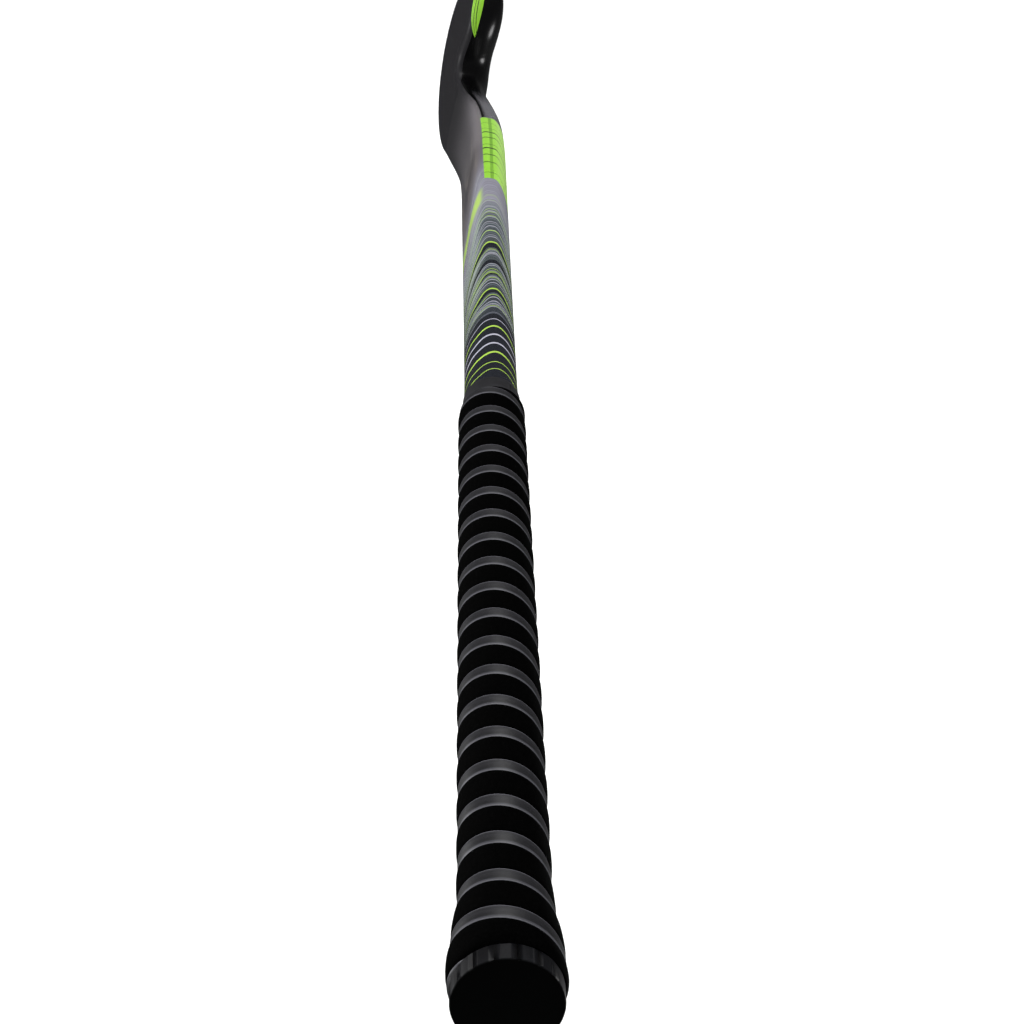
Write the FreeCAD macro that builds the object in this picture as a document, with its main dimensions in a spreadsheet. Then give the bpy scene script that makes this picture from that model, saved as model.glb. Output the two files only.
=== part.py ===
import FreeCAD, Part
import Sketcher
import math
import os

# Field hockey stick, right-handed, millimetres.
# The shaft lies on the Z axis with the butt's end face at z = 0 and the hook at the bottom.
# The toe points along +X and the flat playing side faces +Y.

doc = FreeCAD.newDocument("field_hockey_stick")
sheet = doc.addObject("Spreadsheet::Sheet", "Sizes")

SIZES = [
    # overall outline, measured along the unbowed stick
    ("stick_length", 927.0, "butt face to the lowest point of the hook"),
    ("grip_length", 394.3, "butt face to the upper turn of the grip"),
    ("shaft_width", 26.5, "oval shaft under the grip, across the playing side"),
    ("shaft_depth", 24.7, "oval shaft under the grip, playing side to back"),
    ("mid_width", 27.7, "upper end of the printed shaft"),
    ("mid_depth", 24.0, "upper end of the printed shaft"),
    ("mid_height", 491.7, "where those two are measured, up from the foot"),
    ("neck_width", 48.6, "neck, where the bend begins"),
    ("neck_depth", 20.9, "neck, where the bend begins"),
    ("neck_height", 72.4, "where those two are measured, up from the foot"),
    # hook
    ("head_width", 48.9, "hook, across the playing side"),
    ("head_depth", 25.9, "hook, playing side to back"),
    ("hook_radius", 34.4, "centreline radius of the hook"),
    ("hook_turn", 124.3, "degrees that the hook turns through"),
    ("toe_width", 40.2, "hook near the toe"),
    ("toe_run", 33.0, "straight stretch past the bend"),
    ("toe_thinning", 3.0, "how much thinner the back is at the toe"),
    ("heel_setback", 11.9, "how far the neck steps back from the toe side"),
    ("setback_run", 145.8, "length of that step above the hook"),
    # bow
    ("bow_turn", 9.7, "degrees from the shaft's line to the hook's line"),
    ("bow_top", 159.7, "start of the bow, up from the foot"),
    ("bow_bottom", 68.0, "end of the bow, up from the foot"),
    # laminate and what fills it
    ("cavity_width", 20.9, "hollow of the shaft"),
    ("cavity_depth", 19.1, "hollow of the shaft"),
    ("head_wall", 3.0, "laminate round the head core"),
    ("core_height", 227.0, "top of the head core, up from the foot"),
    ("tube_wall", 1.0, "inner tubes"),
    ("face_layer_depth", 0.6, "grained layer on the playing face"),
    ("bond_gap", 0.15, "glue line round a bonded piece"),
    # butt
    ("butt_flare", 4.4, "how much wider the grip is at the butt"),
    ("rim_height", 7.0, "ribbed rim of the end cap"),
    ("rim_bevel", 0.8, "edge of the end cap"),
    ("cap_face_depth", 3.0, "end cap, from its face to the tube's end"),
    ("rim_slots", 16, "slots round the rim"),
    ("slot_width", 1.3, "slot in the rim"),
    ("slot_depth", 1.0, "slot in the rim"),
    ("stem_diameter", 12.0, "stem of the end cap"),
    ("stem_length", 24.0, "stem of the end cap"),
    ("plug_length", 45.0, "plug in the tube's end"),
    # wraps
    ("grip_thickness", 1.9, "cushioned grip tape, built up"),
    ("rim_step", 1.25, "how far the rim stands in from the grip"),
    ("flare_length", 40.0, "flare of the grip at the butt"),
    ("adhesive_depth", 0.3, "double-sided tape under the grip"),
    ("adhesive_short", 6.0, "how far that tape stops below the grip's end"),
    ("band_width", 14.0, "finishing tape above the grip"),
    ("band_depth", 0.35, "finishing tape above the grip"),
]

for row, (alias, value, note) in enumerate(SIZES, start=1):
    sheet.set(f"A{row}", alias)
    sheet.set(f"B{row}", str(value))
    sheet.set(f"C{row}", note)
    sheet.setAlias(f"B{row}", alias)
doc.recompute()

# How square the playing side and the back of a section are: 2 is an ellipse.
SHAFT_SQUARENESS = 2.0
FACE_SQUARENESS = 6.0
BACK_SQUARENESS = 2.4
SECTION_POINTS = 28
CROWN = 0.6
CROWN_RUN = 14.0
TOE_ROUNDING = 22.0
TOE_TIP = 0.22
TOE_STEPS = 6


def size(alias):
    """A size from the sheet, as a plain number."""
    return float(sheet.get(alias))


def ease(value, start, end):
    """0 before start, 1 after end and smooth between."""
    share = min(max((value - start) / (end - start), 0.0), 1.0)
    return share * share * (3.0 - 2.0 * share)


def from_foot(alias):
    """Path length from the butt to a height that is measured up from the foot."""
    return size("stick_length") - size(alias)


def hook_start():
    """Path length at which the hook begins to turn."""
    return size("stick_length") - size("hook_radius") - size("head_width") / 2.0


def path_length():
    """Path length from the butt to the toe's tip."""
    return hook_start() + math.radians(size("hook_turn")) * size("hook_radius") + size("toe_run")


# ---------------------------------------------------------------- the blank's outline

def centreline(path):
    """Sideways place, run down the unbowed stick and heading at a path length."""
    radius = size("hook_radius")
    full_turn = math.radians(size("hook_turn"))
    turn = min(max((path - hook_start()) / radius, 0.0), full_turn)
    past = max(path - hook_start() - full_turn * radius, 0.0)
    straight = min(path, hook_start())
    setback = size("heel_setback") * ease(path, hook_start() - size("setback_run"), hook_start())
    sideways = radius * (1.0 - math.cos(turn)) + past * math.sin(turn) - setback
    run = straight + radius * math.sin(turn) + past * math.cos(turn)
    return sideways, run, turn


def bowed(sideways, run, forward):
    """Point of the bowed stick for a point of the unbowed one."""
    start = from_foot("bow_top")
    full_turn = math.radians(size("bow_turn"))
    radius = (from_foot("bow_bottom") - start) / full_turn
    turn = min(max((run - start) / radius, 0.0), full_turn)
    past = max(run - from_foot("bow_bottom"), 0.0)
    y = radius * (1.0 - math.cos(turn)) + past * math.sin(turn) + forward * math.cos(turn)
    down = min(run, start) + radius * math.sin(turn) + past * math.cos(turn)
    return FreeCAD.Vector(sideways, y, forward * math.sin(turn) - down)


def blank_size(path):
    """Half width, depth to the playing side, depth to the back and squareness at a path length."""
    mid = from_foot("mid_height")
    neck = from_foot("neck_height")
    bend = hook_start()
    end = path_length()
    to_mid = ease(path, size("grip_length"), mid)
    to_neck = ease(path, mid, neck)
    to_head = ease(path, neck, bend + size("hook_radius"))
    to_toe = ease(path, bend + size("hook_radius") * 2.0, end)
    width = size("shaft_width") + (size("mid_width") - size("shaft_width")) * to_mid
    width += (size("neck_width") - size("mid_width")) * to_neck
    width += (size("head_width") - size("neck_width")) * to_head
    width += (size("toe_width") - size("head_width")) * to_toe
    depth = size("shaft_depth") + (size("mid_depth") - size("shaft_depth")) * to_mid
    depth += (size("neck_depth") - size("mid_depth")) * to_neck
    face = depth / 2.0 + CROWN * ease(path, from_foot("bow_bottom"), from_foot("bow_bottom") + CROWN_RUN)
    back = depth / 2.0 + (size("head_depth") - size("neck_depth")) * to_head - size("toe_thinning") * to_toe
    square = ease(path, size("grip_length"), neck)
    return width / 2.0, face, back, square


def blank_section(path, inset):
    """Closed section of the blank, smaller all round by inset; the playing side is flatter."""
    half_width, face, back, square = blank_size(path)
    share = max((path - path_length() + TOE_ROUNDING) / TOE_ROUNDING, 0.0)
    narrow = math.sqrt(max(1.0 - share ** 2.2, TOE_TIP ** 2))
    thin = math.sqrt(max(1.0 - (0.85 * share) ** 3, TOE_TIP ** 2))
    half_width = (half_width - inset) * narrow
    face_power = 2.0 / (SHAFT_SQUARENESS + (FACE_SQUARENESS - SHAFT_SQUARENESS) * square)
    back_power = 2.0 / (SHAFT_SQUARENESS + (BACK_SQUARENESS - SHAFT_SQUARENESS) * square)
    sideways, run, turn = centreline(path)
    points = []
    for step in range(SECTION_POINTS):
        angle = 2.0 * math.pi * step / SECTION_POINTS
        across = math.cos(angle)
        out = math.sin(angle)
        power = face_power if out >= 0.0 else back_power
        reach = (face - inset) * thin if out >= 0.0 else (back - inset) * thin
        inward = half_width * math.copysign(abs(across) ** power, across)
        forward = reach * math.copysign(abs(out) ** power, out)
        points.append(bowed(sideways + inward * math.cos(turn), run - inward * math.sin(turn), forward))
    curve = Part.BSplineCurve()
    steps = [step / SECTION_POINTS for step in range(SECTION_POINTS + 1)]
    curve.interpolate(Points=points, PeriodicFlag=True, Parameters=steps)
    return Part.Wire([curve.toShape()])


def section_paths(start, end):
    """Path lengths of the sections between two ends: closer where the blank bends, closest at the toe."""
    stretches = [
        (size("grip_length"), 400.0),
        (from_foot("bow_top"), 16.0),
        (hook_start(), 8.0),
        (path_length() - TOE_ROUNDING, 5.0),
    ]
    paths = [start]
    for limit, gap in stretches:
        last = min(limit, end)
        count = math.ceil((last - paths[-1]) / gap)
        first = paths[-1]
        paths += [first + (last - first) * (step + 1) / count for step in range(count)]
    rounded = end - paths[-1]
    if rounded > 0.0:
        first = paths[-1]
        turns = [math.radians(90.0 * (step + 1) / TOE_STEPS) for step in range(TOE_STEPS)]
        paths += [first + rounded * math.sin(turn) for turn in turns]
    return paths


def blank_solid(start, end, inset):
    """Solid of the blank between two path lengths, smaller all round by inset, ruled between its sections."""
    sections = [blank_section(path, inset) for path in section_paths(start, end)]
    return Part.makeLoft(sections, True, True)


def head_slab(low, high):
    """Flat slab over the whole head, between two distances from the centreline to the playing side."""
    reach = size("hook_radius") * 2.0 + size("head_width")
    slab = Part.makeBox(reach * 2.0, high - low, reach, FreeCAD.Vector(-reach, low, -reach))
    foot = bowed(0.0, from_foot("bow_bottom"), 0.0)
    slab.Placement = FreeCAD.Placement(foot, FreeCAD.Rotation(FreeCAD.Vector(1, 0, 0), size("bow_turn")))
    return slab


# ---------------------------------------------------------------- pieces with a free-form shape

def add_shape(name, shape):
    """A sub-part whose shape is worked out in code."""
    piece = doc.addObject("Part::Feature", name)
    piece.Shape = shape
    piece.Placement = FreeCAD.Placement()
    return piece


def shaft_cavity():
    """Hollow of the shaft, from the butt's end of the tube to the head core."""
    oval = Part.Ellipse()
    oval.MajorRadius = max(size("cavity_width"), size("cavity_depth")) / 2.0
    oval.MinorRadius = min(size("cavity_width"), size("cavity_depth")) / 2.0
    face = Part.Face(Part.Wire([oval.toShape()]))
    if size("cavity_depth") > size("cavity_width"):
        face.rotate(FreeCAD.Vector(), FreeCAD.Vector(0, 0, 1), 90)
    return face.extrude(FreeCAD.Vector(0, 0, -from_foot("core_height")))


def outer_shell():
    """Carbon and glass laminate: hollow shaft and hook in one piece, ground flat under the face layer."""
    blank = blank_solid(size("cap_face_depth"), path_length(), 0.0)
    core_end = path_length() - size("head_wall")
    cavity = blank_solid(from_foot("core_height"), core_end, size("head_wall"))
    flat = size("neck_depth") / 2.0 - size("face_layer_depth")
    ground = head_slab(flat, flat + size("head_depth"))
    return add_shape("outer_shell", blank.cut(shaft_cavity()).cut(cavity).cut(ground))


def head_core():
    """Dense foam that fills the head."""
    inset = size("head_wall") + size("bond_gap")
    start = from_foot("core_height") + size("bond_gap")
    return add_shape("head_core", blank_solid(start, path_length() - inset, inset))


def face_layer():
    """Grained layer on the head's playing face, flush with the laminate round it."""
    top = size("neck_depth") / 2.0
    blank = blank_solid(from_foot("neck_height"), path_length(), 0.0)
    return add_shape("face_layer", blank.common(head_slab(top - size("face_layer_depth"), top)))


# ---------------------------------------------------------------- ovals round or inside the shaft

def oval(name, width, depth, start):
    """Ellipse across the shaft; its sizes and its distance from the butt are sheet formulas."""
    ring = doc.addObject("Part::Ellipse", name)
    ring.setExpression("MajorRadius", f"max({width}; {depth}) / 2")
    ring.setExpression("MinorRadius", f"min({width}; {depth}) / 2")
    ring.setExpression("Placement.Rotation.Angle", f"{width} >= {depth} ? 0 : 90")
    ring.setExpression("Placement.Base.z", f"-({start})")
    return ring


def oval_bar(name, width, depth, start, length):
    """Elliptical bar along the shaft."""
    bar = doc.addObject("Part::Extrusion", name)
    bar.Base = oval(name + "_oval", width, depth, start)
    bar.DirMode = "Custom"
    bar.Dir = FreeCAD.Vector(0, 0, -1)
    bar.setExpression("LengthFwd", length)
    bar.Solid = True
    return bar


def oval_cone(name, wide, width, depth, start, end):
    """Bar that runs from a circle near the butt to the shaft's oval."""
    cone = doc.addObject("Part::Loft", name)
    cone.Sections = [oval(name + "_wide", wide, wide, start), oval(name + "_narrow", width, depth, end)]
    cone.Solid = True
    cone.Ruled = True
    return cone


def combine(kind, name, first, second):
    """Boolean of two objects: Cut, Common or Fuse."""
    if kind == "Fuse":
        result = doc.addObject("Part::MultiFuse", name)
        result.Shapes = [first, second]
        return result
    result = doc.addObject("Part::" + kind, name)
    result.Base = first
    result.Tool = second
    return result


def half_bar(name, inset, side, start, length):
    """One half of the shaft's hollow, smaller all round by inset; side is 1 at the toe and -1 at the heel."""
    width = f"(Sizes.cavity_width - 2 * ({inset}))"
    depth = f"(Sizes.cavity_depth - 2 * ({inset}))"
    whole = oval_bar(name + "_whole", width, depth, start, length)
    side_box = doc.addObject("Part::Box", name + "_side")
    side_box.setExpression("Length", "Sizes.cavity_width")
    side_box.setExpression("Width", "2 * Sizes.cavity_depth")
    side_box.setExpression("Height", "Sizes.stick_length")
    shift = f"({inset})" if side > 0 else f"-({inset}) - Sizes.cavity_width"
    side_box.setExpression("Placement.Base.x", shift)
    side_box.setExpression("Placement.Base.y", "-Sizes.cavity_depth")
    side_box.setExpression("Placement.Base.z", "-Sizes.stick_length")
    return combine("Common", name, whole, side_box)


def inner_tube(label, side):
    """Inner laminate tube on one side of the shaft's middle wall, and the foam that fills it."""
    start = "Sizes.cap_face_depth + Sizes.plug_length + Sizes.bond_gap"
    length = f"Sizes.stick_length - Sizes.core_height - 2 * Sizes.bond_gap - ({start})"
    inside = "Sizes.bond_gap + Sizes.tube_wall"
    outer = half_bar(label + "_outer", "Sizes.bond_gap", side, start, length)
    bore = half_bar(label + "_bore", inside, side, start, length)
    tube = combine("Cut", label + "_tube", outer, bore)
    foam = half_bar(label + "_foam", inside + " + Sizes.bond_gap", side, start, length)
    return [tube, foam]


def butt_plug():
    """Moulded plug bonded into the tube's end, bored for the end cap's stem."""
    width = "(Sizes.cavity_width - 2 * Sizes.bond_gap)"
    depth = "(Sizes.cavity_depth - 2 * Sizes.bond_gap)"
    body = oval_bar("plug_body", width, depth, "Sizes.cap_face_depth", "Sizes.plug_length")
    bore = doc.addObject("Part::Cylinder", "plug_bore")
    bore.setExpression("Radius", "Sizes.stem_diameter / 2 + Sizes.bond_gap")
    bore.setExpression("Height", "Sizes.stem_length + Sizes.bond_gap")
    bore.setExpression("Placement.Base.z", "-Sizes.cap_face_depth - Sizes.stem_length - Sizes.bond_gap")
    return combine("Cut", "butt_plug", body, bore)


def shaft_sleeve(name, inside, depth, start, length):
    """Thin sleeve on the oval shaft: inside is its distance from the laminate, depth its thickness."""
    bars = []
    for part, grow in (("outer", f"({inside}) + ({depth})"), ("bore", inside)):
        width = f"(Sizes.shaft_width + 2 * ({grow}))"
        thick = f"(Sizes.shaft_depth + 2 * ({grow}))"
        bars.append(oval_bar(f"{name}_{part}", width, thick, start, length))
    return combine("Cut", name, bars[0], bars[1])


def adhesive_tape():
    """Double-sided tape wound on the shaft under the grip."""
    length = "Sizes.grip_length - Sizes.adhesive_short - Sizes.flare_length"
    return shaft_sleeve("adhesive_tape", "Sizes.bond_gap", "Sizes.adhesive_depth", "Sizes.flare_length", length)


GRIP_BORE = "(Sizes.adhesive_depth + 2 * Sizes.bond_gap)"
GRIP_WIDEST = f"(max(Sizes.shaft_width; Sizes.shaft_depth) + 2 * ({GRIP_BORE} + Sizes.grip_thickness))"
FLARE_WIDE = f"({GRIP_WIDEST} + Sizes.butt_flare)"
BUTT_DIAMETER = f"({FLARE_WIDE} - 2 * Sizes.rim_step)"


def flare_collar():
    """Tapered collar that gives the butt its flare under the grip."""
    wide = f"({FLARE_WIDE} - 2 * Sizes.grip_thickness)"
    width = f"(Sizes.shaft_width + 2 * {GRIP_BORE} - 2 * Sizes.bond_gap)"
    depth = f"(Sizes.shaft_depth + 2 * {GRIP_BORE} - 2 * Sizes.bond_gap)"
    end = "Sizes.flare_length - Sizes.bond_gap"
    cone = oval_cone("collar_outer", wide, width, depth, "Sizes.rim_height", end)
    bore_width = "(Sizes.shaft_width + 2 * Sizes.bond_gap)"
    bore_depth = "(Sizes.shaft_depth + 2 * Sizes.bond_gap)"
    bore = oval_bar("collar_bore", bore_width, bore_depth, "0", "Sizes.flare_length")
    return combine("Cut", "flare_collar", cone, bore)


def grip_tape():
    """Cushioned grip as one closed sleeve, flared at the butt."""
    width = f"(Sizes.shaft_width + 2 * ({GRIP_BORE} + Sizes.grip_thickness))"
    depth = f"(Sizes.shaft_depth + 2 * ({GRIP_BORE} + Sizes.grip_thickness))"
    length = "Sizes.grip_length - Sizes.flare_length"
    straight = oval_bar("grip_straight", width, depth, "Sizes.flare_length", length)
    flare = oval_cone("grip_flare", FLARE_WIDE, width, depth, "Sizes.rim_height", "Sizes.flare_length")
    outer = combine("Fuse", "grip_outer", flare, straight)
    wide = f"({FLARE_WIDE} - 2 * Sizes.grip_thickness + 2 * Sizes.bond_gap)"
    bore_width = f"(Sizes.shaft_width + 2 * {GRIP_BORE})"
    bore_depth = f"(Sizes.shaft_depth + 2 * {GRIP_BORE})"
    bore = oval_bar("grip_bore", bore_width, bore_depth, "0", "Sizes.stick_length")
    taper = oval_cone("grip_taper", wide, bore_width, bore_depth, "Sizes.rim_height", "Sizes.flare_length")
    return combine("Cut", "grip_tape", outer, combine("Fuse", "grip_inner", taper, bore))


def finishing_tape():
    """Band of tape that closes the grip's end on the shaft."""
    length = "Sizes.band_width"
    return shaft_sleeve("finishing_tape", "Sizes.bond_gap", "Sizes.band_depth", "Sizes.grip_length", length)


# ---------------------------------------------------------------- end cap

def origin_plane(body, role):
    """One of a body's own origin planes."""
    return next(plane for plane in body.Origin.OriginFeatures if plane.Role == role)


def add_polygon(sketch, corners):
    """Closed outline whose corners are given by sheet formulas, as pairs of distances from the origin."""
    for index in range(len(corners)):
        start = FreeCAD.Vector(index, index * index, 0)
        following = (index + 1) % len(corners)
        end = FreeCAD.Vector(following, following * following, 0)
        sketch.addGeometry(Part.LineSegment(start, end))
    for index in range(len(corners)):
        following = (index + 1) % len(corners)
        sketch.addConstraint(Sketcher.Constraint("Coincident", index, 2, following, 1))
    for index, corner in enumerate(corners):
        for kind, formula in zip(("DistanceX", "DistanceY"), corner):
            number = sketch.addConstraint(Sketcher.Constraint(kind, -1, 1, index, 1, 1.0))
            sketch.setExpression(f"Constraints[{number}]", formula)


def end_cap():
    """Moulded cap: ribbed rim, smooth end face and a stem that presses into the plug."""
    body = doc.addObject("PartDesign::Body", "end_cap")
    profile = body.newObject("Sketcher::SketchObject", "cap_profile")
    profile.AttachmentSupport = [(origin_plane(body, "XZ_Plane"), "")]
    profile.MapMode = "FlatFace"
    rim = f"{BUTT_DIAMETER} / 2"
    recess = "max(Sizes.shaft_width; Sizes.shaft_depth) / 2 + Sizes.bond_gap"
    stem = "Sizes.stem_diameter / 2"
    floor = "-Sizes.cap_face_depth"
    add_polygon(profile, [
        ("0", "0"),
        (f"{rim} - Sizes.rim_bevel", "0"),
        (rim, "-Sizes.rim_bevel"),
        (rim, "-Sizes.rim_height"),
        (recess, "-Sizes.rim_height"),
        (recess, floor),
        (stem, floor),
        (stem, f"{floor} - Sizes.stem_length"),
        ("0", f"{floor} - Sizes.stem_length"),
    ])
    revolution = body.newObject("PartDesign::Revolution", "cap_revolution")
    revolution.Profile = profile
    revolution.ReferenceAxis = (profile, ["V_Axis"])
    revolution.Angle = 360.0
    doc.recompute()
    outline = body.newObject("Sketcher::SketchObject", "slot_outline")
    outline.AttachmentSupport = [(origin_plane(body, "XY_Plane"), "")]
    outline.MapMode = "FlatFace"
    near = f"{rim} - Sizes.slot_depth"
    far = f"{rim} + Sizes.slot_depth"
    side = "Sizes.slot_width / 2"
    add_polygon(outline, [(near, f"-{side}"), (far, f"-{side}"), (far, side), (near, side)])
    slot = body.newObject("PartDesign::Pocket", "rim_slot")
    slot.Profile = outline
    slot.setExpression("Length", "Sizes.rim_height")
    doc.recompute()
    ring = body.newObject("PartDesign::PolarPattern", "rim_slots_pattern")
    ring.Originals = [slot]
    ring.Axis = (outline, ["N_Axis"])
    ring.Angle = 360.0
    ring.setExpression("Occurrences", "Sizes.rim_slots")
    body.Tip = ring
    return body


# ---------------------------------------------------------------- build, check and write

pieces = [outer_shell(), head_core(), face_layer()]
pieces += inner_tube("toe_side", 1)
pieces += inner_tube("heel_side", -1)
pieces += [butt_plug(), end_cap(), flare_collar(), adhesive_tape(), grip_tape(), finishing_tape()]
doc.recompute()

for item in doc.Objects:
    if "Invalid" in item.State or "Error" in item.State:
        raise RuntimeError(f"{item.Name} failed: {item.State}")

os.makedirs("parts", exist_ok=True)
for piece in pieces:
    piece.Label = piece.Name
    shape = piece.Shape
    if shape.isNull() or not shape.isValid():
        raise RuntimeError(f"{piece.Label} has no valid shape")
    if len(shape.Solids) != 1:
        raise RuntimeError(f"{piece.Label} has {len(shape.Solids)} solids")
    shape.exportStep(f"parts/{piece.Label}.step")
    print(f"{piece.Label}: {shape.Volume / 1000.0:.2f} cm3, box {shape.BoundBox}")
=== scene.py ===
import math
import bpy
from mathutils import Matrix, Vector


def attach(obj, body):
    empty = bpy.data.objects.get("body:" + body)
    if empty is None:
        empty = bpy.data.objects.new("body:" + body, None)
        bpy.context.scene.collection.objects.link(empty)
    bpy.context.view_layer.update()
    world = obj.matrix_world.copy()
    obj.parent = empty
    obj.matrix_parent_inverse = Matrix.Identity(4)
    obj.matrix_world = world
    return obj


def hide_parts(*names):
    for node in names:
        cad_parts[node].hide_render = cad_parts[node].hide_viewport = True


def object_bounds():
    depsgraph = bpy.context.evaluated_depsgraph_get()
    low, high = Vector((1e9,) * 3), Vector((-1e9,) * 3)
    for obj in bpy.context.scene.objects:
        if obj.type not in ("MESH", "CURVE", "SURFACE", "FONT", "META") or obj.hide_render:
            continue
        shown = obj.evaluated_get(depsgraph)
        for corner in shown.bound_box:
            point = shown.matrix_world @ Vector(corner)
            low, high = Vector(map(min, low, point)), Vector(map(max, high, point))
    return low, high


bl_info = {
    "name": "Field Hockey Stick",
    "version": (1, 0, 0),
    "blender": (4, 5, 0),
    "location": "3D View > Sidebar > Hockey Stick",
    "description": "Makes the finished pieces of a field hockey stick on its measured frame",
    "category": "Object",
}

from functools import partial

import bmesh
import bpy
from bpy.props import FloatProperty, FloatVectorProperty, IntProperty, PointerProperty
from mathutils import Matrix, Vector

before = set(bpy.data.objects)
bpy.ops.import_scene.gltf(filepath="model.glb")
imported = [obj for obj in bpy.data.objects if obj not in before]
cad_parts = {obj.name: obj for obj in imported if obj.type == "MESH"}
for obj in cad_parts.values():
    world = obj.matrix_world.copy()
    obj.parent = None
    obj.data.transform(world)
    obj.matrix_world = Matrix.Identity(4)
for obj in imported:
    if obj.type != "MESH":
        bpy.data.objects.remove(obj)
FRAME_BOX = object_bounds()
BODY = "root"

# How square a section's playing side and back are: 2 is an ellipse. The playing side is crowned past the
# bend, and the toe rounds off over its last stretch down to a share of its full size.
SHAFT_SQUARENESS = 2.0
FACE_SQUARENESS = 6.0
BACK_SQUARENESS = 2.4
CROWN = 0.0006
CROWN_RUN = 0.014
TOE_ROUNDING = 0.022
TOE_TIP = 0.22
TOE_RINGS = 18
# A narrow step between the rounded section and the one ground flat for the face layer.
GROUND_STEP = 0.00002
FULL_TURN = 2.0 * math.pi
# An edge of a piece that is sharper than this shows as a crease.
SHARP_ANGLE = math.radians(38.0)

# Settings and inputs that many nodes share.
ADD_SCALED = {"operation": "MULTIPLY_ADD"}
TIMES = {"operation": "MULTIPLY"}
MINUS = {"operation": "SUBTRACT"}
SIZE_OF = {"operation": "ABSOLUTE"}
HIGHER = {"operation": "MAXIMUM"}
BELOW = {"operation": "LESS_THAN"}
COLOURS = {"data_type": "RGBA"}
SMOOTH = {"interpolation_type": "SMOOTHSTEP"}
RANGE = ("Value", "From Min", "From Max", "To Min", "To Max")


def linear(code):
    """Linear colour, with alpha, of an sRGB hex code."""
    channels = [int(code[place:place + 2], 16) / 255.0 for place in (1, 3, 5)]
    return [c / 12.92 if c <= 0.04045 else ((c + 0.055) / 1.055) ** 2.4 for c in channels] + [1.0]


def length(name, description, default):
    """A property that is a length in metres."""
    return FloatProperty(
        name=name, description=description, default=default, precision=5, unit="LENGTH", subtype="DISTANCE"
    )


def angle(name, description, degrees):
    """A property that is an angle."""
    return FloatProperty(
        name=name, description=description, default=math.radians(degrees), unit="ROTATION", subtype="ANGLE"
    )


def colour(name, description, code):
    """A property that is a colour with alpha."""
    return FloatVectorProperty(
        name=name, description=description, default=linear(code), size=4, min=0.0, max=1.0, subtype="COLOR"
    )


# ---------------------------------------------------------------- sizes and colours

class BlankSizes(bpy.types.PropertyGroup):
    """Outline of the laminate blank, measured along the unbowed stick"""

    stick_length: length("Stick length", "Butt face to the lowest point of the hook", 0.927)
    tube_end: length("Tube end", "Butt face to the tube's end inside the cap", 0.003)
    grip_length: length("Grip length", "Butt face to the upper turn of the grip", 0.3943)
    shaft_width: length("Shaft width", "Oval shaft under the grip", 0.0265)
    shaft_depth: length("Shaft depth", "Oval shaft under the grip, playing side to back", 0.0247)
    mid_width: length("Upper width", "Upper end of the printed shaft", 0.0277)
    mid_depth: length("Upper depth", "Upper end of the printed shaft", 0.0240)
    mid_height: length("Upper height", "Where those are measured, up from the foot", 0.4917)
    neck_width: length("Neck width", "Where the bend begins", 0.0486)
    neck_depth: length("Neck depth", "Where the bend begins", 0.0209)
    neck_height: length("Neck height", "Where those are measured, up from the foot", 0.0724)
    head_width: length("Head width", "Hook, across the playing side", 0.0489)
    head_depth: length("Head depth", "Hook, playing side to back", 0.0259)
    hook_radius: length("Hook radius", "Centreline radius of the hook", 0.0344)
    hook_turn: angle("Hook turn", "Angle that the hook turns through", 124.3)
    toe_width: length("Toe width", "Hook near the toe", 0.0402)
    toe_run: length("Toe run", "Straight stretch past the bend", 0.033)
    toe_thinning: length("Toe thinning", "How much thinner the back is at the toe", 0.003)
    heel_setback: length("Heel setback", "How far the neck steps back from the toe side", 0.0119)
    setback_run: length("Setback run", "Length of that step above the hook", 0.1458)
    bow_turn: angle("Bow", "Angle from the shaft's line to the hook's line", 9.7)
    bow_top: length("Bow top", "Start of the bow, up from the foot", 0.1597)
    bow_bottom: length("Bow bottom", "End of the bow, up from the foot", 0.0680)
    face_layer: length("Face layer", "Depth of the grained layer let into the playing face", 0.0006)
    around: IntProperty(name="Around", description="Points round each section", default=128, min=16)


class GripSizes(bpy.types.PropertyGroup):
    """Wound grip tape and the tape that closes it"""

    width: length("Width", "Across the playing side", 0.0315)
    depth: length("Depth", "Playing side to back", 0.0297)
    bore_width: length("Bore width", "Inside of the grip, across the playing side", 0.0277)
    bore_depth: length("Bore depth", "Inside of the grip, playing side to back", 0.0259)
    flare_width: length("Flare width", "Diameter at the butt", 0.0359)
    flare_bore: length("Flare bore", "Inside diameter at the butt", 0.0324)
    flare_length: length("Flare length", "Butt face to the end of the flare", 0.040)
    lower_end: length("Lower end", "Butt face to the lower end of the tape", 0.007)
    pitch: length("Pitch", "Distance between turns", 0.019465)
    first_edge: length("First edge", "Upper edge of the last turn at the toe side", 0.00417)
    turns: IntProperty(name="Turns", description="Turns wound before both ends are trimmed", default=22, min=1)
    steps: IntProperty(name="Steps", description="Steps in each turn", default=72, min=8)
    band_width: length("Closing tape width", "Tape above the grip", 0.014)
    band_depth: length("Closing tape depth", "Tape above the grip", 0.00035)
    band_gap: length("Closing tape gap", "Bond under the first layer", 0.00015)
    lap_start: FloatProperty(
        name="Lap start", description="Turns from the toe side to the loose end", default=0.42
    )
    lap_extent: FloatProperty(name="Lap extent", description="Turns that the loose end covers", default=0.50)


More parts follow.
